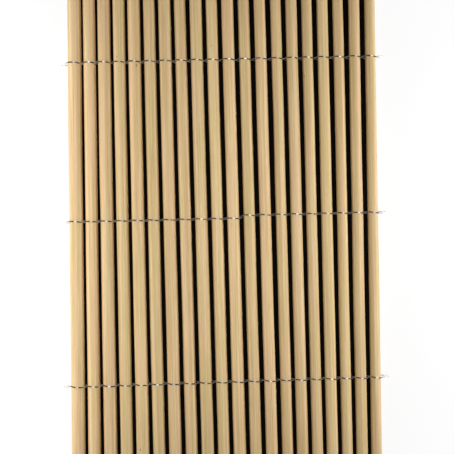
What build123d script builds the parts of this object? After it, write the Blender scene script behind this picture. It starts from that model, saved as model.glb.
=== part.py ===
from build123d import *

# Bamboo screening mat: hollow canes side by side, bound by rows of twisted wire.
# The mat lies flat. The canes run along Y with their thick ends at -Y, and the face looks up +Z.
# Sizes are in millimetres and degrees.

import os
from math import asin, cos, radians, sin, tan

CANE_COUNT = 20
CANE_LENGTH = 450.0
CANE_DIAMETER = 10.6
CANE_BORE = 5.5
CANE_TAPER = 0.3  # how much thicker a cane is at its lower end than at its upper end
THICK_AND_THIN = 0.3  # neighbouring canes are this much over and under the mean diameter
DIAMETER_SPREAD = 0.2  # further unevenness of the diameter, either way
THINNING = 2.1  # how much thinner the canes get from -X to +X, with the same pitch
EDGE_LEAN = 0.88  # lean of the outer canes, feet towards -X, easing to none at the middle ones

WIRE_DIAMETER = 0.9
WIRE_SIDES = 4  # wire this thin shows no flats
WIRE_CLEARANCE = 0.05  # between a strand and a cane
STRAND_CLEARANCE = 0.25  # between the two strands of a row where they cross
BENDS_PER_CANE = 4

TWIST_ROOM = 1.34  # slack that tightly crossed strands leave beside a cane of mean diameter
TWIST_SLACK = 0.7  # most slack that a loose twist adds to it
MIDDLE_EASE = 0.6  # slack that the binding gains towards the middle of the mat

TAIL_REACH = 2.5  # from the last bend to the start of the twisted tail
TAIL_STEPS = 5
TAIL_STEP_LENGTH = 0.9
TAIL_STEP_TURN = 60.0

UPPER_ROW_INSET = 76.3  # from the upper ends of the canes
MIDDLE_ROW_RISE = 7.5  # above the middle of the canes
LOWER_ROW_INSET = 88.2  # from the lower ends of the canes
UPPER_ROW_SLOPE = -0.3
MIDDLE_ROW_SLOPE = -0.35
LOWER_ROW_SLOPE = 0.2
MIDDLE_ROW_SLIP = 2.5  # the middle row is bound this much higher past the canes counted next
CANES_BEFORE_SLIP = 11

GOLDEN_SHARE = 0.618034


def uneven(index, stride, start):
    """A share from 0 to 1 that jumps about along the mat; stride and start pick the sequence."""
    return ((stride * index + start) * GOLDEN_SHARE) % 1.0


def row_heights():
    """Where the rows of binding cross the middle of the mat, measured along the canes."""
    half = CANE_LENGTH / 2
    return {
        "upper": half - UPPER_ROW_INSET,
        "middle": MIDDLE_ROW_RISE,
        "lower": LOWER_ROW_INSET - half,
    }


class Cane:
    """One cane: its diameter, its lean, and where its axis crosses the middle of the mat."""

    def __init__(self, index):
        thicker = -1.0 if index % 2 else 1.0
        across = 2.0 * index / (CANE_COUNT - 1) - 1.0
        self.name = f"cane_{index + 1:02d}"
        thinned = THINNING / 2 * across
        self.diameter = CANE_DIAMETER + thicker * THICK_AND_THIN - thinned
        self.diameter += DIAMETER_SPREAD * (2.0 * uneven(index, 5, 8) - 1.0)
        self.slack = TWIST_ROOM + TWIST_SLACK * uneven(index, 13, 9) + thinned
        self.slack += MIDDLE_EASE * (1.0 - across**2)
        self.lean = EDGE_LEAN * across**2
        self.x = 0.0

    def axis_x(self, y):
        return self.x + y * tan(radians(self.lean))

    def radius(self, y):
        return self.diameter / 2 - CANE_TAPER / 2 * y / CANE_LENGTH

    def bar(self, lower_radius, upper_radius):
        """A round bar along the cane, with both ends square across the mat."""
        half = CANE_LENGTH / 2
        lower = Plane((self.axis_x(-half), -half, 0), z_dir=(0, 1, 0)) * Circle(lower_radius)
        upper = Plane((self.axis_x(half), half, 0), z_dir=(0, 1, 0)) * Circle(upper_radius)
        return loft([lower, upper], ruled=True)

    def solid(self):
        """The tapered, leaning tube."""
        half = CANE_LENGTH / 2
        return self.bar(self.radius(-half), self.radius(half)) - self.bar(CANE_BORE / 2, CANE_BORE / 2)


def lay_canes():
    """The canes in their places, centred on X = 0, with room for the wire wherever a row passes."""
    canes = [Cane(index) for index in range(CANE_COUNT)]
    wire_room = WIRE_DIAMETER + 2 * WIRE_CLEARANCE
    reach = max(abs(y) for y in row_heights().values())
    for before, cane in zip(canes, canes[1:]):
        closing = reach * abs(tan(radians(cane.lean)) - tan(radians(before.lean)))
        cane.x = before.x + (before.diameter + cane.diameter) / 2 + wire_room + before.slack + closing
    middle = (canes[0].x - canes[0].diameter / 2 + canes[-1].x + canes[-1].diameter / 2) / 2
    for cane in canes:
        cane.x -= middle
    return canes


class Row:
    """One row of binding: two strands that weave over and under the canes and cross in every gap."""

    def __init__(self, name, canes, slope, slip=0.0):
        self.name = name
        self.y = row_heights()[name]
        self.rise = tan(radians(slope))
        self.slip = slip
        self.beside = (WIRE_DIAMETER + STRAND_CLEARANCE) / 2
        self.passes = [self.measure(index, cane) for index, cane in enumerate(canes)]

    def level(self, index, x):
        """Height of the row at one cane, with the slip past which it is bound higher."""
        return self.y + self.rise * x + (self.slip if index >= CANES_BEFORE_SLIP else 0.0)

    def measure(self, index, cane):
        """Where the row passes a cane, and how far the strand's centre line stays from its axis."""
        y = self.level(index, cane.x)
        return cane.axis_x(y), cane.radius(y) + WIRE_CLEARANCE + WIRE_DIAMETER / 2

    def slant(self, index, step):
        """Angle at which a strand leaves one cane for the next, or for its tail past the last one."""
        x, wrap = self.passes[index]
        if 0 <= index + step < len(self.passes):
            next_x, next_wrap = self.passes[index + step]
            return asin((wrap + next_wrap) / abs(next_x - x))
        return asin(wrap / (wrap + TAIL_REACH))

    def bends(self, index, side):
        """Corners of a strand round one cane: side is 1 over it and -1 under it."""
        x, wrap = self.passes[index]
        come = self.slant(index, -1)
        leave = self.slant(index, 1)
        bend = (come + leave) / BENDS_PER_CANE
        reach = wrap / cos(bend / 2)
        points = []
        for corner in range(BENDS_PER_CANE):
            angle = (corner + 0.5) * bend - come
            corner_x = x + reach * sin(angle)
            across = side * self.beside * (1.0 - 2.0 * corner / (BENDS_PER_CANE - 1))
            points.append((corner_x, self.level(index, corner_x) + across, side * reach * cos(angle)))
        return points

    def tail(self, index, end, phase):
        """The twisted-off tail past an outer cane, from the mat outwards: end is -1 at -X, 1 at +X."""
        x, wrap = self.passes[index]
        radius = self.beside / cos(radians(TAIL_STEP_TURN / 2))
        points = []
        for step in range(TAIL_STEPS + 1):
            turn = radians(phase + end * step * TAIL_STEP_TURN)
            step_x = x + end * (wrap + TAIL_REACH + step * TAIL_STEP_LENGTH)
            points.append((step_x, self.level(index, step_x) + radius * cos(turn), radius * sin(turn)))
        return points

    def strand(self, side):
        """One strand from tail to tail: side is 1 where it starts over the first cane, -1 under it."""
        points = self.tail(0, -1, 0.0 if side > 0 else 180.0)[::-1]
        for index in range(len(self.passes)):
            points += self.bends(index, side)
            side = -side
        points += self.tail(len(self.passes) - 1, 1, 0.0 if side > 0 else 180.0)
        path = Polyline(*points)
        section = Plane(path @ 0, z_dir=path % 0) * RegularPolygon(WIRE_DIAMETER / 2, WIRE_SIDES)
        return sweep(section, path, transition=Transition.RIGHT)


def bind_rows(canes):
    """The rows of binding, from the upper one down."""
    return [
        Row("upper", canes, UPPER_ROW_SLOPE),
        Row("middle", canes, MIDDLE_ROW_SLOPE, MIDDLE_ROW_SLIP),
        Row("lower", canes, LOWER_ROW_SLOPE),
    ]


def main():
    canes = lay_canes()
    pieces = {}
    for row in bind_rows(canes):
        pieces[f"{row.name}_wire_a"] = row.strand(1)
        pieces[f"{row.name}_wire_b"] = row.strand(-1)
    # the mat rests on the wire behind its thickest canes
    lift = -min(wire.bounding_box().min.Z for wire in pieces.values())
    for cane in canes:
        pieces[cane.name] = cane.solid()
    os.makedirs("parts", exist_ok=True)
    for name, piece in pieces.items():
        export_step(Pos(0, 0, lift) * piece, f"parts/{name}.step")


main()
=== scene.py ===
"""Dresses the bamboo screening mat: round hollow canes bound by rows of twisted wire.

The mat lies face up on a pale floor and the camera looks almost straight down on it. Every cane
and every strand of wire is rebuilt in place of its solid, in metres, in the solids' own frame.
"""

import bisect
import logging
import math
import random
from dataclasses import dataclass, field
from enum import Enum, IntEnum

import bmesh
import bpy
from mathutils import Matrix, Vector, noise

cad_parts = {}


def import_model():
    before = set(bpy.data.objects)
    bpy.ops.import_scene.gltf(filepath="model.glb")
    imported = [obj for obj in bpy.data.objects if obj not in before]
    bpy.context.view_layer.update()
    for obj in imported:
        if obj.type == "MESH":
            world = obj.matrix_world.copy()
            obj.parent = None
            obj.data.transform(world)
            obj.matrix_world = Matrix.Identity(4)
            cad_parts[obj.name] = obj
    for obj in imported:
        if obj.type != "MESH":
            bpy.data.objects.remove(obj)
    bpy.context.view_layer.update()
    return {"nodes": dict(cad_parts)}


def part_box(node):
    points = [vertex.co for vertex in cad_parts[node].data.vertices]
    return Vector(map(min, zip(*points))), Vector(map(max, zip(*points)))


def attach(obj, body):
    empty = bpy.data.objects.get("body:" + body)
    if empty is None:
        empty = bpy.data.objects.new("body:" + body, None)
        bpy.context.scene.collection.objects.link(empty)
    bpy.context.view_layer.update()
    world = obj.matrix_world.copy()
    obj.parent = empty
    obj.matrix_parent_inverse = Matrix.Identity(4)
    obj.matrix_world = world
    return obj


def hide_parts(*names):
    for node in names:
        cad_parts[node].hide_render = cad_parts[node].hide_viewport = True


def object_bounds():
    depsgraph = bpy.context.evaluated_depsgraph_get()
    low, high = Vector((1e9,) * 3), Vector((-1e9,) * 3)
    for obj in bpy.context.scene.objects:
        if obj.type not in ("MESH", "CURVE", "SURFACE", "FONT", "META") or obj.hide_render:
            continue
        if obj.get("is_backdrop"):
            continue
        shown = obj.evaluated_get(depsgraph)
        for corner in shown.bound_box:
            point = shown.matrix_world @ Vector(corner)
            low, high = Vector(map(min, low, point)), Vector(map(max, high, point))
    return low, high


LOG = logging.getLogger("bamboo_mat")
END_TOLERANCE = 1e-5
RIM_TOLERANCE = 1e-6
MERGE_DISTANCE = 1e-7
# Places of the colour sockets on Blender's Mix node.
MIX_FIRST, MIX_SECOND, MIX_RESULT = 6, 7, 2

Colour = tuple[float, float, float, float]
Socket = bpy.types.NodeSocket
Feed = Socket | float | tuple
Ring = list[bmesh.types.BMEdge]


class Slot(Enum):
    """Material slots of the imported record."""

    BAMBOO = "bamboo"
    WIRE = "wire"


class Surface(IntEnum):
    """Surfaces of a cane, in the order of its material slots."""

    SKIN = 0
    SAWN = 1
    BORE = 2


class Side(IntEnum):
    """The side of a cane that a strand passes."""

    OVER = 1
    UNDER = -1

    def other(self) -> "Side":
        """The side on which the strand passes the next cane."""
        return Side(-self)


class NodeWeb:
    """Adds nodes to one tree and links them."""

    def __init__(self, tree: bpy.types.NodeTree) -> None:
        """Keeps the tree that the nodes go into."""
        self.tree = tree

    def add(self, kind: str, **settings: object) -> bpy.types.Node:
        """Adds one node.

        Args:
            kind: Blender's name of the node type.
            settings: Properties to set on the node.

        Returns:
            The new node.
        """
        node = self.tree.nodes.new(kind)
        for name, value in settings.items():
            setattr(node, name, value)
        return node

    def feed(self, socket: Socket, value: Feed) -> None:
        """Links a value into a socket, or sets it there as a constant.

        Args:
            socket: The input to fill.
            value: An output socket to link, or a constant.
        """
        if isinstance(value, Socket):
            self.tree.links.new(value, socket)
        else:
            socket.default_value = value

    def math(self, operation: str, first: Feed, second: Feed = 0.5) -> Socket:
        """Adds a Math node.

        Args:
            operation: Blender's name of the operation.
            first: First value.
            second: Second value.

        Returns:
            The node's result.
        """
        node = self.add("ShaderNodeMath", operation=operation)
        self.feed(node.inputs[0], first)
        self.feed(node.inputs[1], second)
        return node.outputs[0]

    def vector(self, operation: str, first: Feed, second: Feed) -> Socket:
        """Adds a Vector Math node of two vectors.

        Args:
            operation: Blender's name of the operation.
            first: First vector.
            second: Second vector.

        Returns:
            The node's vector result.
        """
        node = self.add("ShaderNodeVectorMath", operation=operation)
        self.feed(node.inputs[0], first)
        self.feed(node.inputs[1], second)
        return node.outputs["Vector"]

    def combine(self, x: Feed, y: Feed, z: Feed) -> Socket:
        """Makes a vector of three values.

        Args:
            x: First component.
            y: Second component.
            z: Third component.

        Returns:
            The vector.
        """
        node = self.add("ShaderNodeCombineXYZ")
        for socket, value in zip(node.inputs, (x, y, z)):
            self.feed(socket, value)
        return node.outputs[0]

    def mix(self, factor: Feed, first: Feed, second: Feed, blend: str = "MIX") -> Socket:
        """Mixes two colours.

        Args:
            factor: Share of the second colour.
            first: First colour.
            second: Second colour.
            blend: Blender's name of the blend type.

        Returns:
            The mixed colour.
        """
        node = self.add("ShaderNodeMix", data_type="RGBA", blend_type=blend)
        self.feed(node.inputs[0], factor)
        self.feed(node.inputs[MIX_FIRST], first)
        self.feed(node.inputs[MIX_SECOND], second)
        return node.outputs[MIX_RESULT]

    def remap(self, value: Feed, low: Feed, high: Feed, start: Feed = 0.0, end: Feed = 1.0) -> Socket:
        """Maps a value smoothly from one range to another.

        Args:
            value: The value to map.
            low: Where the range starts.
            high: Where the range ends.
            start: Result at its start.
            end: Result at its end.

        Returns:
            The mapped value.
        """
        node = self.add("ShaderNodeMapRange", interpolation_type="SMOOTHSTEP")
        for socket, item in zip(node.inputs, (value, low, high, start, end)):
            self.feed(socket, item)
        return node.outputs[0]

    def noise(self, where: Feed, scale: Feed = 1.0, detail: float = 2.0, rough: float = 0.5) -> Socket:
        """Adds a Noise Texture.

        Args:
            where: Coordinates to read it at.
            scale: Its scale.
            detail: Its octaves.
            rough: How strong the finer octaves are.

        Returns:
            The noise, about 0.5 on average.
        """
        node = self.add("ShaderNodeTexNoise")
        for name, value in (("Vector", where), ("Scale", scale), ("Detail", detail), ("Roughness", rough)):
            self.feed(node.inputs[name], value)
        return node.outputs[0]

    def place(self, group: bpy.types.NodeTree, **values: Feed) -> Socket:
        """Places a node group and fills its inputs.

        Args:
            group: The group.
            values: Its inputs by name.

        Returns:
            The group's one output.
        """
        node = self.add("ShaderNodeGroup", node_tree=group)
        for name, value in values.items():
            self.feed(node.inputs[name], value)
        return node.outputs[0]


class EffectGroup:
    """A shader node group that more than one finish uses, built once."""

    name: str = ""
    inputs: tuple[tuple[str, str], ...] = ()
    output: str = "Mask"

    @classmethod
    def tree(cls) -> bpy.types.NodeTree:
        """Finds the group, or builds it.

        Returns:
            The node group.
        """
        found = bpy.data.node_groups.get(cls.name)
        if found:
            return found
        group = bpy.data.node_groups.new(cls.name, "ShaderNodeTree")
        for name, kind in cls.inputs:
            group.interface.new_socket(name=name, in_out="INPUT", socket_type=kind)
        group.interface.new_socket(name=cls.output, in_out="OUTPUT", socket_type="NodeSocketFloat")
        web = NodeWeb(group)
        source = web.add("NodeGroupInput")
        web.feed(web.add("NodeGroupOutput").inputs[0], cls.fill(web, source.outputs))
        return group

    @classmethod
    def fill(cls, web: NodeWeb, given: bpy.types.NodeOutputs) -> Socket:
        """Adds the group's own nodes.

        Args:
            web: The group's tree.
            given: The group's inputs.

        Returns:
            The value that the group puts out.
        """
        raise NotImplementedError


class CaneGrain(EffectGroup):
    """Streaks along a cane: noise that is drawn out along it."""

    name = "cane_grain"
    inputs = (
        ("Coord", "NodeSocketVector"),
        ("Seed", "NodeSocketFloat"),
        ("Across", "NodeSocketFloat"),
        ("Along", "NodeSocketFloat"),
        ("Low", "NodeSocketFloat"),
        ("High", "NodeSocketFloat"),
    )
    output = "Grain"
    seed_shift = (17.3, 5.9, 11.1)

    @classmethod
    def fill(cls, web: NodeWeb, given: bpy.types.NodeOutputs) -> Socket:
        """Adds the group's own nodes.

        Args:
            web: The group's tree.
            given: The group's inputs.

        Returns:
            The grain, from 0 to 1.
        """
        stretch = web.combine(given["Across"], given["Along"], given["Across"])
        stretched = web.vector("MULTIPLY", given["Coord"], stretch)
        seeds = web.combine(given["Seed"], given["Seed"], given["Seed"])
        shift = web.vector("MULTIPLY", seeds, cls.seed_shift)
        grain = web.noise(web.vector("ADD", stretched, shift), detail=3.0, rough=0.55)
        return web.remap(grain, given["Low"], given["High"])


class Specks(EffectGroup):
    """Scattered round or drawn-out spots, one in some of the cells of a random grid."""

    name = "specks"
    inputs = (
        ("Coord", "NodeSocketVector"),
        ("Seed", "NodeSocketFloat"),
        ("Stretch", "NodeSocketVector"),
        ("Chance", "NodeSocketFloat"),
        ("Size", "NodeSocketFloat"),
    )
    seed_step = 3.7
    solid_share = 0.45

    @classmethod
    def fill(cls, web: NodeWeb, given: bpy.types.NodeOutputs) -> Socket:
        """Adds the group's own nodes.

        Args:
            web: The group's tree.
            given: The group's inputs.

        Returns:
            A mask that is 1 in the spots.
        """
        stretched = web.vector("MULTIPLY", given["Coord"], given["Stretch"])
        shift = web.combine(given["Seed"], web.math("MULTIPLY", given["Seed"], cls.seed_step), given["Seed"])
        cells = web.add("ShaderNodeTexVoronoi", feature="F1")
        web.feed(cells.inputs["Vector"], web.vector("ADD", stretched, shift))
        web.feed(cells.inputs["Scale"], 1.0)
        inner = web.math("MULTIPLY", given["Size"], cls.solid_share)
        spot = web.remap(cells.outputs["Distance"], inner, given["Size"], 1.0, 0.0)
        pick = web.add("ShaderNodeSeparateColor")
        web.feed(pick.inputs[0], cells.outputs["Color"])
        chosen = web.math("LESS_THAN", pick.outputs[0], given["Chance"])
        return web.math("MULTIPLY", spot, chosen)


class Weathering(EffectGroup):
    """Soft cloudy patches of dust and age."""

    name = "weathering"
    inputs = (
        ("Coord", "NodeSocketVector"),
        ("Scale", "NodeSocketFloat"),
        ("Low", "NodeSocketFloat"),
        ("High", "NodeSocketFloat"),
    )

    @classmethod
    def fill(cls, web: NodeWeb, given: bpy.types.NodeOutputs) -> Socket:
        """Adds the group's own nodes.

        Args:
            web: The group's tree.
            given: The group's inputs.

        Returns:
            A mask that is 1 in the patches.
        """
        clouds = web.noise(given["Coord"], given["Scale"], detail=4.0, rough=0.6)
        return web.remap(clouds, given["Low"], given["High"])


def new_material(name: str) -> tuple[bpy.types.Material, NodeWeb, bpy.types.Node]:
    """Starts a material with its Principled shader.

    Args:
        name: The material's name.

    Returns:
        The material, its node web and the shader node.
    """
    material = bpy.data.materials.new(name)
    material.use_nodes = True
    web = NodeWeb(material.node_tree)
    return material, web, material.node_tree.nodes["Principled BSDF"]


@dataclass(frozen=True)
class Grain:
    """One grain of a cane: how fine it is across and along it, and how hard its edges are."""

    across: float
    along: float
    low: float
    high: float
    seed_step: float = 0.0

    def place(self, web: NodeWeb, where: Socket, seed: Socket) -> Socket:
        """Places the grain in a material.

        Args:
            web: The material's tree.
            where: The cane's own coordinates.
            seed: The cane's seed.

        Returns:
            The grain, from 0 to 1.
        """
        return web.place(
            CaneGrain.tree(),
            Coord=where,
            Seed=web.math("ADD", seed, self.seed_step),
            Across=self.across,
            Along=self.along,
            Low=self.low,
            High=self.high,
        )


@dataclass(frozen=True)
class Scatter:
    """Spots on a surface: the grid that they come from, how many there are, their size and strength."""

    stretch: tuple[float, float, float]
    chance: float
    size: float
    strength: float
    seed_step: float = 0.0

    def place(self, web: NodeWeb, where: Socket, seed: Feed) -> Socket:
        """Places the spots in a material.

        Args:
            web: The material's tree.
            where: The coordinates of the surface.
            seed: The seed of the piece.

        Returns:
            A mask that is 1 in the spots.
        """
        return web.place(
            Specks.tree(),
            Coord=where,
            Seed=web.math("ADD", seed, self.seed_step),
            Stretch=self.stretch,
            Chance=self.chance,
            Size=self.size,
        )


@dataclass(frozen=True)
class Relief:
    """A bump: its strength and its height in metres."""

    strength: float
    height: float

    def place(self, web: NodeWeb, shader: bpy.types.Node, pattern: Socket) -> None:
        """Puts the bump on a shader.

        Args:
            web: The material's tree.
            shader: The material's shader.
            pattern: What stands out.
        """
        bump = web.add("ShaderNodeBump")
        web.feed(bump.inputs["Strength"], self.strength)
        web.feed(bump.inputs["Distance"], self.height)
        web.feed(bump.inputs["Height"], pattern)
        web.feed(shader.inputs["Normal"], bump.outputs[0])


@dataclass(frozen=True)
class BambooFinish:
    """Dry straw-coloured bamboo: streaked satin skin, sawn ends and a pithy bore."""

    tan: Colour = (0.565, 0.385, 0.172, 1.0)
    pale: Colour = (0.740, 0.545, 0.290, 1.0)
    pink: Colour = (0.675, 0.448, 0.248, 1.0)
    olive: Colour = (0.605, 0.465, 0.202, 1.0)
    brown: Colour = (0.300, 0.175, 0.070, 1.0)
    speck: Colour = (0.060, 0.035, 0.018, 1.0)
    straw: Colour = (0.610, 0.470, 0.270, 1.0)
    pith: Colour = (0.500, 0.390, 0.240, 1.0)
    streak: Grain = Grain(480.0, 4.5, 0.36, 0.64)
    fine: Grain = Grain(2300.0, 30.0, 0.30, 0.70, 31.0)
    drift: Grain = Grain(150.0, 4.0, 0.34, 0.66, 57.0)
    line: Grain = Grain(1100.0, 7.0, 0.60, 0.70, 83.0)
    blush: Grain = Grain(300.0, 12.0, 0.32, 0.68, 11.0)
    fibre: Grain = Grain(1400.0, 25.0, 0.30, 0.70)
    dashes: Scatter = Scatter((420.0, 60.0, 420.0), 0.10, 0.22, 0.22, 11.0)
    spots: Scatter = Scatter((260.0, 90.0, 260.0), 0.02, 0.16, 0.80)
    dents: Scatter = Scatter((150.0, 150.0, 150.0), 0.12, 0.13, 4.0, 57.0)
    bundles: Scatter = Scatter((2600.0, 0.0, 2600.0), 0.75, 0.42, 0.60)
    skin_relief: Relief = Relief(0.5, 0.00006)
    sawn_relief: Relief = Relief(0.6, 0.00006)
    tint_pull: float = 0.3
    drift_pull: float = 0.5
    blush_pull: tuple[float, float] = (-0.55, 0.65)
    plain_hue: float = 0.3
    pinkest_hue: float = 1.0
    olivest_hue: float = -0.4
    hue_share: float = 0.6
    line_share: float = 0.35
    shade_share: float = 0.05
    fine_light: tuple[float, float] = (0.93, 1.05)
    fine_height: float = 0.6
    streak_height: float = 0.4
    skin_rough: tuple[float, float] = (0.56, 0.44)
    skin_specular: float = 0.35
    sawn_dust: tuple[float, float, float] = (420.0, 0.35, 0.70)
    sawn_rough: tuple[float, float] = (0.75, 0.90)
    bore_dust: tuple[float, float, float] = (160.0, 0.40, 0.70)
    bore_rough: tuple[float, float] = (0.80, 0.92)
    dust_share: float = 0.5

    @staticmethod
    def coordinates(web: NodeWeb) -> tuple[Socket, Socket, Socket, Socket]:
        """Reads the cane's own coordinates and tone.

        Args:
            web: The material's tree.

        Returns:
            The coordinates, the tint, the shade and the seed of the cane.
        """
        where = web.add("ShaderNodeAttribute", attribute_name="cane_coord").outputs["Vector"]
        tone = web.add("ShaderNodeSeparateXYZ")
        web.feed(tone.inputs[0], web.add("ShaderNodeAttribute", attribute_name="cane_tone").outputs["Vector"])
        return where, tone.outputs[0], tone.outputs[1], tone.outputs[2]

    def skin(self) -> bpy.types.Material:
        """The streaked outer skin."""
        material, web, shader = new_material("bamboo_skin")
        where, tint, shade, seed = self.coordinates(web)
        streak = self.streak.place(web, where, seed)
        fine = self.fine.place(web, where, seed)
        drift = self.drift.place(web, where, seed)
        line = self.line.place(web, where, seed)
        blush = self.blush.place(web, where, seed)

        base = web.mix(streak, self.tan, self.pale)
        hue = web.math("MULTIPLY", tint, self.tint_pull)
        hue = web.math("ADD", hue, web.math("MULTIPLY", drift, self.drift_pull))
        hue = web.math("ADD", hue, web.remap(blush, 0.0, 1.0, *self.blush_pull))
        pinker = web.remap(hue, self.plain_hue, self.pinkest_hue, 0.0, self.hue_share)
        base = web.mix(pinker, base, self.pink)
        greener = web.remap(hue, self.plain_hue, self.olivest_hue, 0.0, self.hue_share)
        base = web.mix(greener, base, self.olive)
        base = web.mix(web.math("MULTIPLY", line, self.line_share), base, self.brown)
        light = web.math("MULTIPLY", shade, self.shade_share)
        light = web.math("ADD", light, web.remap(fine, 0.0, 1.0, *self.fine_light))
        base = web.mix(1.0, base, web.combine(light, light, light), "MULTIPLY")
        dashes = self.dashes.place(web, where, seed)
        base = web.mix(web.math("MULTIPLY", dashes, self.dashes.strength), base, self.brown)
        spots = self.spots.place(web, where, seed)
        base = web.mix(web.math("MULTIPLY", spots, self.spots.strength), base, self.speck)
        web.feed(shader.inputs["Base Color"], base)
        web.feed(shader.inputs["Roughness"], web.remap(streak, 0.0, 1.0, *self.skin_rough))
        web.feed(shader.inputs["Specular IOR Level"], self.skin_specular)

        dents = self.dents.place(web, where, seed)
        height = web.math("MULTIPLY", fine, self.fine_height)
        height = web.math("ADD", height, web.math("MULTIPLY", streak, self.streak_height))
        height = web.math("SUBTRACT", height, web.math("MULTIPLY", dents, self.dents.strength))
        self.skin_relief.place(web, shader, height)
        return material

    @staticmethod
    def dust(web: NodeWeb, where: Socket, patches: tuple[float, float, float]) -> Socket:
        """Places patches of dust.

        Args:
            web: The material's tree.
            where: The cane's own coordinates.
            patches: Their scale, and where they start and end in the noise.

        Returns:
            A mask that is 1 in the patches.
        """
        scale, low, high = patches
        return web.place(Weathering.tree(), Coord=where, Scale=scale, Low=low, High=high)

    def sawn(self) -> bpy.types.Material:
        """The sawn end, with the dots of the fibre bundles."""
        material, web, shader = new_material("bamboo_sawn_end")
        where, _, _, seed = self.coordinates(web)
        dots = self.bundles.place(web, where, seed)
        dust = self.dust(web, where, self.sawn_dust)
        base = web.mix(web.math("MULTIPLY", dots, self.bundles.strength), self.straw, self.brown)
        base = web.mix(web.math("MULTIPLY", dust, self.dust_share), base, self.tan)
        web.feed(shader.inputs["Base Color"], base)
        web.feed(shader.inputs["Roughness"], web.remap(dust, 0.0, 1.0, *self.sawn_rough))
        self.sawn_relief.place(web, shader, dots)
        return material

    def bore(self) -> bpy.types.Material:
        """The pale pithy inside of the cane."""
        material, web, shader = new_material("bamboo_bore")
        where, _, _, seed = self.coordinates(web)
        fibre = self.fibre.place(web, where, seed)
        dust = self.dust(web, where, self.bore_dust)
        base = web.mix(fibre, self.pith, self.straw)
        base = web.mix(web.math("MULTIPLY", dust, self.dust_share), base, self.brown)
        web.feed(shader.inputs["Base Color"], base)
        web.feed(shader.inputs["Roughness"], web.remap(fibre, 0.0, 1.0, *self.bore_rough))
        return material


@dataclass(frozen=True)
class WireFinish:
    """Galvanised wire, dark where it lies bare, with a painted glint on each crest, and grey in the gaps,
    where its galvanising is also painted pale as reflected light.
    """

    dull: Colour = (0.009, 0.008, 0.007, 1.0)
    worn: Colour = (0.022, 0.019, 0.017, 1.0)
    # Galvanising where the canes cover the wire, also painted pale there as reflected light.
    zinc_sheen: Colour = (0.800, 0.800, 0.790, 1.0)
    # Painted glint colour for the crests.
    glint_colour: Colour = (0.960, 0.950, 0.930, 1.0)
    patch_scale: float = 210.0
    patch_edges: tuple[float, float] = (0.42, 0.68)
    pits: Scatter = Scatter((1500.0, 1500.0, 1500.0), 0.30, 0.35, 0.15, 3.0)
    rough: tuple[float, float] = (0.42, 0.32)

    def strand(self) -> bpy.types.Material:
        """The wire: its galvanising is kept where the canes cover it and is painted pale there as reflected
        light, and each crest has a painted glint.
        """
        material, web, shader = new_material("galvanised_wire")
        where = web.add("ShaderNodeTexCoord").outputs["Object"]
        shelter_and_sheen = web.add("ShaderNodeAttribute", attribute_name="wire_shelter_and_sheen").outputs["Fac"]
        glint_mask = web.add("ShaderNodeAttribute", attribute_name="wire_glint").outputs["Fac"]
        low, high = self.patch_edges
        patch = web.place(Weathering.tree(), Coord=where, Scale=self.patch_scale, Low=low, High=high)
        pits = self.pits.place(web, where, 0.0)
        # Kept galvanising in the gaps and below, also painted pale as reflected light.
        base = web.mix(shelter_and_sheen, web.mix(patch, self.dull, self.worn), self.zinc_sheen)
        # Painted glint: the crest marks turn the wire near white.
        web.feed(shader.inputs["Base Color"], web.mix(glint_mask, base, self.glint_colour))
        web.feed(shader.inputs["Metallic"], 1.0)
        rough = web.remap(patch, 0.0, 1.0, *self.rough)
        rough = web.math("ADD", rough, web.math("MULTIPLY", pits, self.pits.strength))
        web.feed(shader.inputs["Roughness"], rough)
        return material


def finished_piece(
    name: str,
    shape: bmesh.types.BMesh,
    materials: list[bpy.types.Material],
    node: str,
) -> bpy.types.Object:
    """Turns a bmesh into a piece that stands for a solid.

    Args:
        name: The piece's name.
        shape: Its shape, in place. It is freed.
        materials: Its materials, in the order of its faces' indices.
        node: The solid that it replaces.

    Returns:
        The new object, which rides on the mat's one body.
    """
    mesh = bpy.data.meshes.new(name)
    shape.to_mesh(mesh)
    shape.free()
    for material in materials:
        mesh.materials.append(material)
    piece = bpy.data.objects.new(name, mesh)
    bpy.context.scene.collection.objects.link(piece)
    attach(piece, "root")
    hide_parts(node)
    LOG.info("%s: %d triangles", name, sum(len(face.vertices) - 2 for face in mesh.polygons))
    return piece


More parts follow.
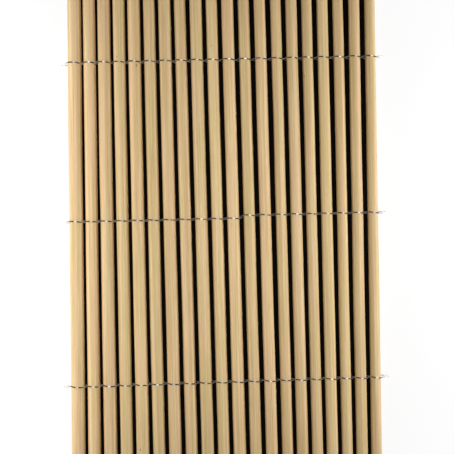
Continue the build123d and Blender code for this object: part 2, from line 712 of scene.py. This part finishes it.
@dataclass
class Cane:
    """One hollow cane, read from its solid and rebuilt with a natural surface."""

    name: str
    foot: Vector
    top: Vector
    foot_radius: float
    top_radius: float
    bore_radius: float
    seed: float
    tint: float
    shade: float
    trims: tuple[float, float]
    bound_at: list[float] = field(default_factory=list)
    round_steps: int = 48
    skin_rings: int = 100
    bore_rings: int = 6
    wall_rings: int = 2
    rim: float = 0.0003
    rim_steps: int = 2
    bow: float = 0.000352
    bow_rate: float = 9.0
    aside_row: float = 1.7
    up_row: float = 8.3
    bound_reach: float = 0.03
    flats: float = 0.00012
    flat_turn: float = 1.7
    flat_rate: float = 7.0
    end_slope: float = 0.4
    seed_most: float = 90.0
    trim_most: float = 0.0005

    @classmethod
    def read(cls, node: bpy.types.Object, chance: random.Random) -> "Cane":
        """Reads a cane's ends from its solid.

        Args:
            node: The solid's object.
            chance: Gives the cane its tone.

        Returns:
            The cane.
        """
        low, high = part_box(node.name)
        foot, foot_radius, bore_radius = cls.end_ring(node, low.y)
        top, top_radius, _ = cls.end_ring(node, high.y)
        return cls(
            name=node.name,
            foot=foot,
            top=top,
            foot_radius=foot_radius,
            top_radius=top_radius,
            bore_radius=bore_radius,
            seed=chance.uniform(0.0, cls.seed_most),
            tint=chance.uniform(-1.0, 1.0),
            shade=chance.uniform(-1.0, 1.0),
            trims=(chance.uniform(0.0, cls.trim_most), chance.uniform(0.0, cls.trim_most)),
        )

    @staticmethod
    def end_ring(node: bpy.types.Object, y: float) -> tuple[Vector, float, float]:
        """Measures a sawn end of the solid.

        Args:
            node: The solid's object.
            y: Where the end is.

        Returns:
            The end's centre, its radius and its bore's radius.
        """
        ring = [vertex.co for vertex in node.data.vertices if abs(vertex.co.y - y) < END_TOLERANCE]
        xs = [point.x for point in ring]
        zs = [point.z for point in ring]
        centre = Vector(((min(xs) + max(xs)) / 2, y, (min(zs) + max(zs)) / 2))
        reaches = [(point - centre).length for point in ring]
        return centre, max(reaches), min(reaches)

    def share(self, y: float) -> float:
        """How far up the cane a height is, from 0 to 1."""
        return (y - self.foot.y) / (self.top.y - self.foot.y)

    def sway(self, y: float) -> Vector:
        """How far the cane bows aside between the rows that bind it.

        Args:
            y: Height along the cane.

        Returns:
            The offset of its axis.
        """
        nearest = min((abs(y - level) for level in self.bound_at), default=1.0)
        free = 1.0 - math.exp(-((nearest / self.bound_reach) ** 2))
        aside = noise.noise(Vector((y * self.bow_rate, self.seed, self.aside_row)))
        up = noise.noise(Vector((y * self.bow_rate, self.seed, self.up_row)))
        return Vector((aside, 0.0, up)) * self.bow * free

    def axis_at(self, y: float) -> Vector:
        """Where the cane's axis is at a height."""
        return self.foot.lerp(self.top, self.share(y)) + self.sway(y)

    def radius_at(self, y: float) -> float:
        """The cane's outer radius at a height."""
        return self.foot_radius + (self.top_radius - self.foot_radius) * self.share(y)

    def placed(self, point: Vector) -> Vector:
        """Moves a point of the straight tube to its place on the grown cane.

        Args:
            point: Place on the straight tube, whose axis is Y.

        Returns:
            Its place in the mat.
        """
        reach = math.hypot(point.x, point.z)
        depth = (reach - self.bore_radius) / (self.foot_radius - self.bore_radius)
        turn = math.atan2(point.z, point.x)
        outer = self.radius_at(point.y)
        around = Vector((math.cos(turn), math.sin(turn), 0.0)) * self.flat_turn
        wave = noise.noise(around + Vector((0.0, 0.0, point.y * self.flat_rate + self.seed)))
        outer -= self.flats * min(max(0.5 + wave, 0.0), 1.0)
        reach = self.bore_radius + (outer - self.bore_radius) * depth
        share = self.share(point.y)
        y = point.y + self.trims[0] * (1.0 - share) - self.trims[1] * share
        centre = self.axis_at(point.y)
        return Vector((centre.x + reach * math.cos(turn), y, centre.z + reach * math.sin(turn)))

    def tube(self) -> bmesh.types.BMesh:
        """Spins the straight tube round Y from the outline of its wall.

        Returns:
            The closed tube with softened rims.
        """
        shape = bmesh.new()
        low, high = self.foot.y, self.top.y
        corners = [
            shape.verts.new((radius, y, 0.0))
            for radius, y in (
                (self.foot_radius, low),
                (self.foot_radius, high),
                (self.bore_radius, high),
                (self.bore_radius, low),
            )
        ]
        edges = [shape.edges.new(pair) for pair in zip(corners, corners[1:] + corners[:1])]
        for edge, cuts in zip(edges, (self.skin_rings, self.wall_rings, self.bore_rings, self.wall_rings)):
            bmesh.ops.subdivide_edges(shape, edges=[edge], cuts=cuts)
        bmesh.ops.spin(
            shape,
            geom=shape.verts[:] + shape.edges[:],
            cent=(0.0, 0.0, 0.0),
            axis=(0.0, 1.0, 0.0),
            angle=2.0 * math.pi,
            steps=self.round_steps,
            use_merge=True,
        )
        bmesh.ops.remove_doubles(shape, verts=shape.verts[:], dist=MERGE_DISTANCE)
        bmesh.ops.recalc_face_normals(shape, faces=shape.faces[:])
        rims = [edge for edge in shape.edges if all(self.on_rim(vertex.co) for vertex in edge.verts)]
        bmesh.ops.bevel(
            shape,
            geom=rims,
            offset=self.rim,
            offset_type="OFFSET",
            affect="EDGES",
            segments=self.rim_steps,
            profile=0.5,
            material=-1,
        )
        return shape

    def on_rim(self, point: Vector) -> bool:
        """Whether a point of the straight tube is on an outer rim of its ends."""
        at_end = min(abs(point.y - self.foot.y), abs(point.y - self.top.y)) < RIM_TOLERANCE
        return at_end and math.hypot(point.x, point.z) > self.foot_radius - RIM_TOLERANCE

    def surface_of(self, face: bmesh.types.BMFace) -> Surface:
        """Tells which surface of the cane a face of the straight tube is on.

        Args:
            face: The face.

        Returns:
            The surface.
        """
        if abs(face.normal.y) > self.end_slope:
            return Surface.SAWN
        centre = face.calc_center_median()
        inside = math.hypot(centre.x, centre.z) < (self.bore_radius + self.foot_radius) / 2
        return Surface.BORE if inside else Surface.SKIN

    def build(self, materials: list[bpy.types.Material]) -> bpy.types.Object:
        """Builds and dresses the cane.

        Args:
            materials: The finishes, in the order of the surfaces.

        Returns:
            The finished piece.
        """
        shape = self.tube()
        shape.normal_update()
        for face in shape.faces:
            face.material_index = self.surface_of(face)
            face.smooth = face.material_index != Surface.SAWN
        where = shape.verts.layers.float_vector.new("cane_coord")
        tone = shape.verts.layers.float_vector.new("cane_tone")
        for vertex in shape.verts:
            vertex[where] = vertex.co
            vertex[tone] = (self.tint, self.shade, self.seed)
            vertex.co = self.placed(vertex.co)
        return finished_piece(f"bamboo_{self.name}", shape, materials, self.name)


@dataclass
class Crossing:
    """Where a row of wire passes one cane: the cane's axis there, and the reach of the wire's centre."""

    axis: Vector
    wrap: float


@dataclass
class Strand:
    """One round wire that weaves over and under the canes, with a twisted tail at both ends."""

    name: str
    crossings: list[Crossing]
    start: Side
    # Strength of the painted glint at each cane.
    glint_strengths: list[float]
    radius: float = 0.00045
    beside: float = 0.000575
    tail_reach: float = 0.0025
    tail_length: float = 0.0044
    tail_turn: float = math.radians(300.0)
    tail_radius: float = 0.000664
    bare_above: float = 0.75
    bare_fade: float = 0.25
    # Painted glint on each crest: its half width, its fade and its shift along X.
    glint_half: float = 0.0014
    glint_fade: float = 0.0007
    glint_shift: float = 0.0004
    sides: int = 12
    arc_steps: int = 20
    tail_steps: int = 30

    def slant(self, index: int, step: int) -> float:
        """Angle at which the strand leaves a cane for the next one, or for its tail.

        Args:
            index: The cane's place in the row.
            step: 1 towards +X, -1 towards -X.

        Returns:
            The angle from the face of the mat.
        """
        here = self.crossings[index]
        if 0 <= index + step < len(self.crossings):
            there = self.crossings[index + step]
            return math.asin((here.wrap + there.wrap) / abs(there.axis.x - here.axis.x))
        return math.asin(here.wrap / (here.wrap + self.tail_reach))

    def touch(self, index: int, side: Side, angle: float, along: float) -> Vector:
        """A point of the strand's centre line round one cane.

        Args:
            index: The cane's place in the row.
            side: The side on which the strand passes it.
            angle: From the crest, positive towards +X.
            along: From the row's own line, positive up the canes.

        Returns:
            The point.
        """
        here = self.crossings[index]
        return here.axis + Vector((here.wrap * math.sin(angle), along, side * here.wrap * math.cos(angle)))

    def tail_point(self, index: int, side: Side, end: int) -> Vector:
        """Where the twisted tail starts, past an outer cane.

        Args:
            index: The outer cane's place in the row.
            side: The side on which the strand passes it.
            end: -1 for the tail at -X, 1 for the one at +X.

        Returns:
            The point.
        """
        here = self.crossings[index]
        return here.axis + Vector((end * (here.wrap + self.tail_reach), -end * side * self.tail_radius, 0.0))

    @staticmethod
    def facing(point: Vector, heading: Vector) -> Matrix:
        """A placing at a point with Z along a heading."""
        return Matrix.Translation(point) @ heading.to_track_quat("Z", "Y").to_matrix().to_4x4()

    def run_to(self, shape: bmesh.types.BMesh, ring: Ring, here: Matrix, there: Matrix) -> Ring:
        """Extrudes the open end of the wire straight to a new placing.

        Args:
            shape: The wire so far.
            ring: The edges of its open end.
            here: The placing of that end.
            there: The placing to run to.

        Returns:
            The edges of the new open end.
        """
        grown = bmesh.ops.extrude_edge_only(shape, edges=ring)["geom"]
        tips = [item for item in grown if isinstance(item, bmesh.types.BMVert)]
        bmesh.ops.transform(shape, matrix=there @ here.inverted(), verts=tips)
        return self.open_edges(grown, tips)

    @staticmethod
    def open_edges(grown: list, tips: list[bmesh.types.BMVert]) -> Ring:
        """The edges among new geometry that join its outermost vertices."""
        ends = set(tips)
        return [item for item in grown if isinstance(item, bmesh.types.BMEdge) and set(item.verts) <= ends]

    @staticmethod
    def turn_round(
        shape: bmesh.types.BMesh,
        ring: Ring,
        centre: Vector,
        axis: Vector,
        angle: float,
        drift: Vector,
        steps: int,
    ) -> Ring:
        """Bends the open end of the wire round an axis, drifting along it.

        Args:
            shape: The wire so far.
            ring: The edges of its open end.
            centre: A point of the axis.
            axis: The axis.
            angle: How far to turn.
            drift: How far to drift in all.
            steps: Number of steps.

        Returns:
            The edges of the new open end.
        """
        spun = bmesh.ops.spin(
            shape,
            geom=ring + list({vertex for edge in ring for vertex in edge.verts}),
            cent=centre,
            axis=axis,
            dvec=drift / steps,
            angle=angle,
            steps=steps,
        )["geom_last"]
        return [item for item in spun if isinstance(item, bmesh.types.BMEdge)]

    def tail_heading(self, turn: float) -> Vector:
        """The direction of the twisted tail at a turn round the row."""
        forward = self.tail_length / self.tail_turn
        return Vector((forward, -self.tail_radius * math.sin(turn), self.tail_radius * math.cos(turn)))

    def build(self, materials: list[bpy.types.Material]) -> bpy.types.Object:
        """Builds and dresses the strand, from its tail at -X to the one at +X.

        Args:
            materials: The wire's finish.

        Returns:
            The finished piece.
        """
        side = self.start
        last = len(self.crossings) - 1
        twist_axis = Vector((1.0, 0.0, 0.0))
        drift = twist_axis * self.tail_length
        joint = self.tail_point(0, side, -1)
        core = Vector((joint.x, self.crossings[0].axis.y, self.crossings[0].axis.z))
        phase = 0.0 if side == Side.OVER else math.pi
        begin = phase - self.tail_turn
        tip = core - drift + Vector((0.0, math.cos(begin), math.sin(begin))) * self.tail_radius

        shape = bmesh.new()
        outset = self.facing(tip, self.tail_heading(begin))
        bmesh.ops.create_circle(shape, cap_ends=True, segments=self.sides, radius=self.radius, matrix=outset)
        ring = shape.edges[:]
        ring = self.turn_round(shape, ring, core, twist_axis, self.tail_turn, drift, self.tail_steps)
        here = self.facing(joint, self.tail_heading(phase))
        for index in range(last + 1):
            come, leave = self.slant(index, -1), self.slant(index, 1)
            entry = self.touch(index, side, -come, side * self.beside)
            there = self.facing(entry, Vector((math.cos(come), 0.0, side * math.sin(come))))
            ring = self.run_to(shape, ring, here, there)
            sag = Vector((0.0, -2.0 * side * self.beside, 0.0))
            round_axis = Vector((0.0, float(side), 0.0))
            ring = self.turn_round(
                shape, ring, self.crossings[index].axis, round_axis, come + leave, sag, self.arc_steps
            )
            exit_point = self.touch(index, side, leave, -side * self.beside)
            here = self.facing(exit_point, Vector((math.cos(leave), 0.0, -side * math.sin(leave))))
            side = side.other()
        joint = self.tail_point(last, side.other(), 1)
        core = Vector((joint.x, self.crossings[last].axis.y, self.crossings[last].axis.z))
        phase = 0.0 if side == Side.OVER else math.pi
        ring = self.run_to(shape, ring, here, self.facing(joint, self.tail_heading(phase)))
        ring = self.turn_round(shape, ring, core, twist_axis, self.tail_turn, drift, self.tail_steps)
        bmesh.ops.contextual_create(shape, geom=ring)
        bmesh.ops.recalc_face_normals(shape, faces=shape.faces[:])
        for face in shape.faces:
            face.smooth = len(face.verts) < self.sides
        # Marks the painted pale reflection in the gaps and the painted glints on the crests.
        self.mark_shelter_sheen_and_glints(shape)
        return finished_piece(f"binding_{self.name}", shape, materials, self.name)

    def mark_shelter_sheen_and_glints(self, shape: bmesh.types.BMesh) -> None:
        """Marks where the canes cover the wire, which is also painted pale as reflected light, and the
        painted glints on its crests.

        Args:
            shape: The finished wire.
        """
        # Cover mask, which is also painted pale reflection, and the painted glint mask.
        shelter_and_sheen = shape.verts.layers.float.new("wire_shelter_and_sheen")
        glint = shape.verts.layers.float.new("wire_glint")
        gaps = [(a.axis.x + b.axis.x) / 2 for a, b in zip(self.crossings, self.crossings[1:])]
        for vertex in shape.verts:
            index = bisect.bisect(gaps, vertex.co.x)
            here = self.crossings[index]
            height = (vertex.co.z - here.axis.z) / here.wrap
            # Kept galvanising below the crest, also painted pale as reflected light.
            vertex[shelter_and_sheen] = min(max((self.bare_above - height) / self.bare_fade, 0.0), 1.0)
            # Painted glint on the crest where the wire passes over the cane.
            away = abs(vertex.co.x - here.axis.x - self.glint_shift)
            crest = min(max((self.glint_half - away) / self.glint_fade, 0.0), 1.0)
            vertex[glint] = crest * self.glint_strengths[index] if height > self.bare_above else 0.0


@dataclass
class ScreeningMat:
    """The whole mat: its canes and its rows of wire."""

    canes: list[Cane]
    strands: list[Strand]
    seed: int = 20
    # Least strength of a crest's painted glint.
    glint_least: float = 0.35
    beside_axis: float = 0.003
    wire_clearance: float = 0.00005

    @classmethod
    def read(cls, nodes: dict[str, bpy.types.Object]) -> "ScreeningMat":
        """Reads the mat from its solids.

        Args:
            nodes: The solids' objects by name.

        Returns:
            The mat, ready to build.
        """
        chance = random.Random(cls.seed)
        canes = [Cane.read(nodes[name], chance) for name in sorted(nodes) if name.startswith("cane_")]
        canes.sort(key=lambda cane: cane.foot.x)
        strands = []
        for row in ("upper", "middle", "lower"):
            pair = [nodes[f"{row}_wire_a"], nodes[f"{row}_wire_b"]]
            crossings = [cls.crossing(cane, pair) for cane in canes]
            for cane, passed in zip(canes, crossings):
                cane.bound_at.append(passed.axis.y)
            for node, start in zip(pair, (Side.OVER, Side.UNDER)):
                # A random strength for the painted glint at each cane.
                glint_strengths = [chance.uniform(cls.glint_least, 1.0) for _ in canes]
                strands.append(Strand(node.name, crossings, start, glint_strengths))
        return cls(canes, strands)

    @classmethod
    def crossing(cls, cane: Cane, pair: list[bpy.types.Object]) -> Crossing:
        """Finds where a row passes a cane.

        Args:
            cane: The cane.
            pair: The row's two strands.

        Returns:
            The crossing.
        """
        about = (pair[0].data.vertices[0].co.y + pair[1].data.vertices[0].co.y) / 2
        x = cane.axis_at(about).x
        points = [vertex.co for wire in pair for vertex in wire.data.vertices]
        heights = [point.y for point in points if abs(point.x - x) < cls.beside_axis]
        level = sum(heights) / len(heights)
        axis = cane.foot.lerp(cane.top, cane.share(level))
        return Crossing(axis, cane.radius_at(level) + cls.wire_clearance + Strand.radius)

    def build(self) -> None:
        """Builds every cane and every strand."""
        bamboo, wire = BambooFinish(), WireFinish()
        cane_finish = [bamboo.skin(), bamboo.sawn(), bamboo.bore()]
        wire_finish = [wire.strand()]
        for cane in self.canes:
            cane.build(cane_finish)
        for strand in self.strands:
            strand.build(wire_finish)


@dataclass(frozen=True)
class Lamp:
    """A soft box that points at the middle of the mat, sized along the canes and across its beam."""

    name: str
    place: tuple[float, float, float]
    size: tuple[float, float]
    spread: float
    power: float

    def hang(self) -> None:
        """Puts the lamp in the scene."""
        light = bpy.data.lights.new(self.name, "AREA")
        light.shape = "RECTANGLE"
        light.size, light.size_y = self.size
        light.spread = self.spread
        light.energy = self.power
        lamp = bpy.data.objects.new(self.name, light)
        lamp.location = self.place
        lamp.rotation_euler = (-Vector(self.place)).to_track_quat("-Z", "Y").to_euler()
        lamp.visible_camera = False
        bpy.context.scene.collection.objects.link(lamp)


@dataclass
class Studio:
    """The pale floor, the soft light and the camera."""

    floor_size: float = 8.0
    floor_colour: Colour = (0.95, 0.95, 0.95, 1.0)
    floor_rough: float = 0.9
    # Painted shadow below the mat: its near-black colour, half size, soft edge and lean with the canes.
    painted_shadow_colour: Colour = (0.006, 0.005, 0.004, 1.0)
    painted_shadow_half: tuple[float, float] = (0.1335, 0.219)
    painted_shadow_edge: float = 0.003
    painted_shadow_lean: float = 0.0154
    floor_reach: float = 2.0
    near_share: float = 0.93
    far_share: float = 0.80
    near_lift: float = 0.70
    dome: float = 0.21
    lamps: tuple[Lamp, ...] = (
        Lamp("top_box", (0.03, 0.0, 1.00), (0.40, 0.15), math.radians(52.0), 0.42),
        Lamp("left_box", (-0.23, 0.0, 0.08), (0.50, 0.08), math.radians(180.0), 0.42),
        Lamp("right_box", (0.44, 0.0, 0.16), (0.50, 0.12), math.radians(180.0), 1.45),
    )
    picture_width: float = 0.4039
    camera_height: float = 0.62
    camera_aside: float = 0.0027
    camera_tilt: float = math.radians(0.8)
    camera_roll: float = math.radians(-1.65)
    camera_clip: float = 0.01

    def build(self) -> None:
        """Builds the stage, the lights and the camera."""
        self.lay_floor()
        self.light()
        self.aim()
        bpy.context.scene.view_settings.view_transform = "Standard"

    def lay_floor(self) -> None:
        """Lays the pale floor, with a painted shadow below the mat that the gaps between the canes show."""
        shape = bmesh.new()
        bmesh.ops.create_grid(shape, x_segments=1, y_segments=1, size=self.floor_size / 2)
        mesh = bpy.data.meshes.new("floor")
        shape.to_mesh(mesh)
        shape.free()
        floor = bpy.data.objects.new("floor", mesh)
        bpy.context.scene.collection.objects.link(floor)
        floor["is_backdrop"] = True
        mesh.materials.append(self.floor_material())

    def floor_material(self) -> bpy.types.Material:
        """Makes the floor's material, lifted towards white for the camera, more with distance, with a painted
        shadow below the mat.

        Returns:
            The material.
        """
        material, web, shader = new_material("floor")
        place = web.add("ShaderNodeTexCoord").outputs["Object"]
        where = web.add("ShaderNodeSeparateXYZ")
        web.feed(where.inputs[0], place)
        across, along = where.outputs[0], where.outputs[1]
        # The painted shadow: a dark rectangle below the mat that follows the canes' lean.
        across = web.math("SUBTRACT", across, web.math("MULTIPLY", along, self.painted_shadow_lean))
        masks = []
        for value, half in zip((across, along), self.painted_shadow_half):
            away = web.math("ABSOLUTE", value)
            masks.append(web.remap(away, half - self.painted_shadow_edge, half, 1.0, 0.0))
        under = web.math("MULTIPLY", masks[0], masks[1])
        near = web.add("ShaderNodeTexGradient", gradient_type="SPHERICAL")
        shrink = 1.0 / self.floor_reach
        web.feed(near.inputs[0], web.vector("MULTIPLY", place, (shrink, shrink, shrink)))
        lift = web.remap(near.outputs["Fac"], self.far_share, self.near_share, 1.0, self.near_lift)
        # The floor's colour turns near black inside the painted shadow.
        web.feed(shader.inputs["Base Color"], web.mix(under, self.floor_colour, self.painted_shadow_colour))
        web.feed(shader.inputs["Roughness"], self.floor_rough)
        web.feed(shader.inputs["Specular IOR Level"], 0.0)
        camera_ray = web.add("ShaderNodeLightPath").outputs["Is Camera Ray"]
        # The painted shadow is kept out of the lift towards white.
        bare = web.math("MULTIPLY", lift, web.math("SUBTRACT", 1.0, under))
        blend = web.add("ShaderNodeMixShader")
        web.feed(blend.inputs[0], web.math("MULTIPLY", camera_ray, bare))
        web.feed(blend.inputs[1], shader.outputs[0])
        web.feed(blend.inputs[2], web.add("ShaderNodeEmission").outputs[0])
        web.feed(material.node_tree.nodes["Material Output"].inputs["Surface"], blend.outputs[0])
        return material

    def light(self) -> None:
        """Sets the white dome, the soft box above the mat and the two beside it."""
        world = bpy.data.worlds.new("studio_dome")
        bpy.context.scene.world = world
        world.use_nodes = True
        web = NodeWeb(world.node_tree)
        rays = web.add("ShaderNodeLightPath").outputs
        seen = web.math("MAXIMUM", rays["Is Camera Ray"], rays["Is Transmission Ray"])
        seen = web.math("MAXIMUM", seen, rays["Is Glossy Ray"])
        background = world.node_tree.nodes["Background"]
        web.feed(background.inputs["Color"], (1.0, 1.0, 1.0, 1.0))
        web.feed(background.inputs["Strength"], web.remap(seen, 0.0, 1.0, self.dome, 1.0))
        for lamp in self.lamps:
            lamp.hang()

    def aim(self) -> None:
        """Sets the camera, which looks down and frames the picture at the canes' mid-height."""
        low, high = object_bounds()
        lens = bpy.data.cameras.new("camera")
        lens.angle = 2.0 * math.atan(self.picture_width / 2.0 / self.camera_height)
        lens.clip_start = self.camera_clip
        camera = bpy.data.objects.new("camera", lens)
        back = -self.camera_height * math.sin(self.camera_tilt)
        up = (low.z + high.z) / 2.0 + self.camera_height * math.cos(self.camera_tilt)
        camera.location = (self.camera_aside, back, up)
        camera.rotation_mode = "ZXY"
        camera.rotation_euler = (self.camera_tilt, 0.0, self.camera_roll)
        bpy.context.scene.collection.objects.link(camera)
        bpy.context.scene.camera = camera


def save_sizes() -> None:
    """Updates the view layer.
    """
    bpy.context.view_layer.update()


def main() -> None:
    """Builds the stage and the mat."""
    logging.basicConfig(level=logging.INFO, format="%(name)s %(message)s")
    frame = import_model()
    Studio().build()
    ScreeningMat.read(frame["nodes"]).build()
    save_sizes()


if __name__ == "__main__":
    main()
